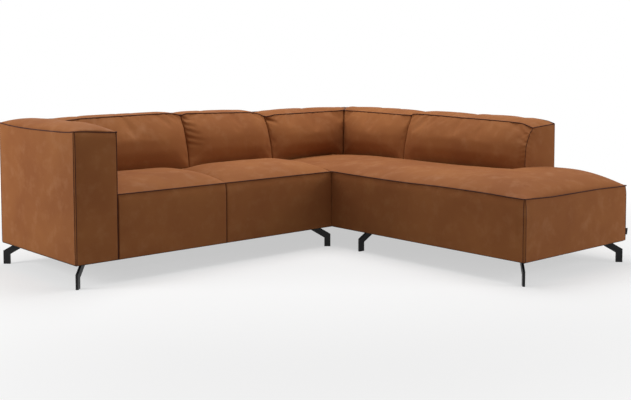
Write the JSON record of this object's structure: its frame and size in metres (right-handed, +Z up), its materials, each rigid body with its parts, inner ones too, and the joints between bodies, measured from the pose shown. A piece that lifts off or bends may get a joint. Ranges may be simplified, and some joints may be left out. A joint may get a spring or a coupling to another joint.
{
  "type": "corner sofa",
  "caption": "Low corner sofa in tan leather: a two-seat section with a box arm joins a long open-ended section, both on angled black flat-bar legs.",
  "frame": {"origin": "middle of the footprint at floor level", "axes": "+X along the longer side towards the section with the open end, -Y towards the front, +Z up"},
  "size_m": [2.47, 2.2, 0.77],
  "materials": {
    "tan_leather": "matte",
    "foam": "matte",
    "wadding": "matte",
    "frame_timber": "matte",
    "particle_board": "matte",
    "black_steel": "satin",
    "zinc_steel": "satin",
    "spring_steel": "satin",
    "webbing": "matte",
    "dust_cloth": "matte"
  },
  "bodies": {
    "right_section": {"right_back_cover_1": "tan_leather", "right_back_cover_2": "tan_leather", "right_back_cover_3": "tan_leather", "right_back_foam_1": "foam", "right_back_foam_2": "foam", "right_back_foam_3": "foam", "right_back_frame": "frame_timber", "right_back_panels": "particle_board", "right_back_straps": "webbing", "right_border_pads": "wadding", "right_deck_rails": "frame_timber", "right_dust_cloth": "dust_cloth", "right_end_rails": "frame_timber", "right_leg_blocks": "frame_timber", "right_leg_bolts": "zinc_steel", "right_leg_end_inner": "black_steel", "right_leg_end_outer": "black_steel", "right_leg_middle_inner": "black_steel", "right_leg_middle_outer": "black_steel", "right_leg_rear_corner": "black_steel", "right_leg_rear_joint": "black_steel", "right_rear_cover": "tan_leather", "right_seat_cover_1": "tan_leather", "right_seat_foam_1": "foam", "right_seat_springs": "spring_steel", "right_side_rails": "frame_timber", "section_sockets": "zinc_steel"},
    "left_section": {"left_arm_base_board": "particle_board", "left_arm_bolts": "zinc_steel", "left_arm_cover": "tan_leather", "left_arm_end_panels": "particle_board", "left_arm_foam": "foam", "left_arm_side_panels": "particle_board", "left_arm_top_board": "particle_board", "left_back_cover_1": "tan_leather", "left_back_cover_2": "tan_leather", "left_back_foam_1": "foam", "left_back_foam_2": "foam", "left_back_frame": "frame_timber", "left_back_panel": "particle_board", "left_back_straps": "webbing", "left_deck_rails": "frame_timber", "left_dust_cloth": "dust_cloth", "left_front_pad": "wadding", "left_leg_blocks": "frame_timber", "left_leg_bolts": "zinc_steel", "left_leg_front_arm": "black_steel", "left_leg_front_joint": "black_steel", "left_leg_rear_arm": "black_steel", "left_leg_rear_joint": "black_steel", "left_long_rails": "frame_timber", "left_rear_cover": "tan_leather", "left_seat_cover_1": "tan_leather", "left_seat_cover_2": "tan_leather", "left_seat_foam_1": "foam", "left_seat_foam_2": "foam", "left_seat_springs": "spring_steel", "left_side_rails": "frame_timber", "section_hooks": "zinc_steel"}
  },
  "joints": [
    {"name": "section_lift", "type": "slide", "parent": "right_section", "child": "left_section", "axis": [0, 0, 1], "range_m": [0, 0.05]}
  ]
}
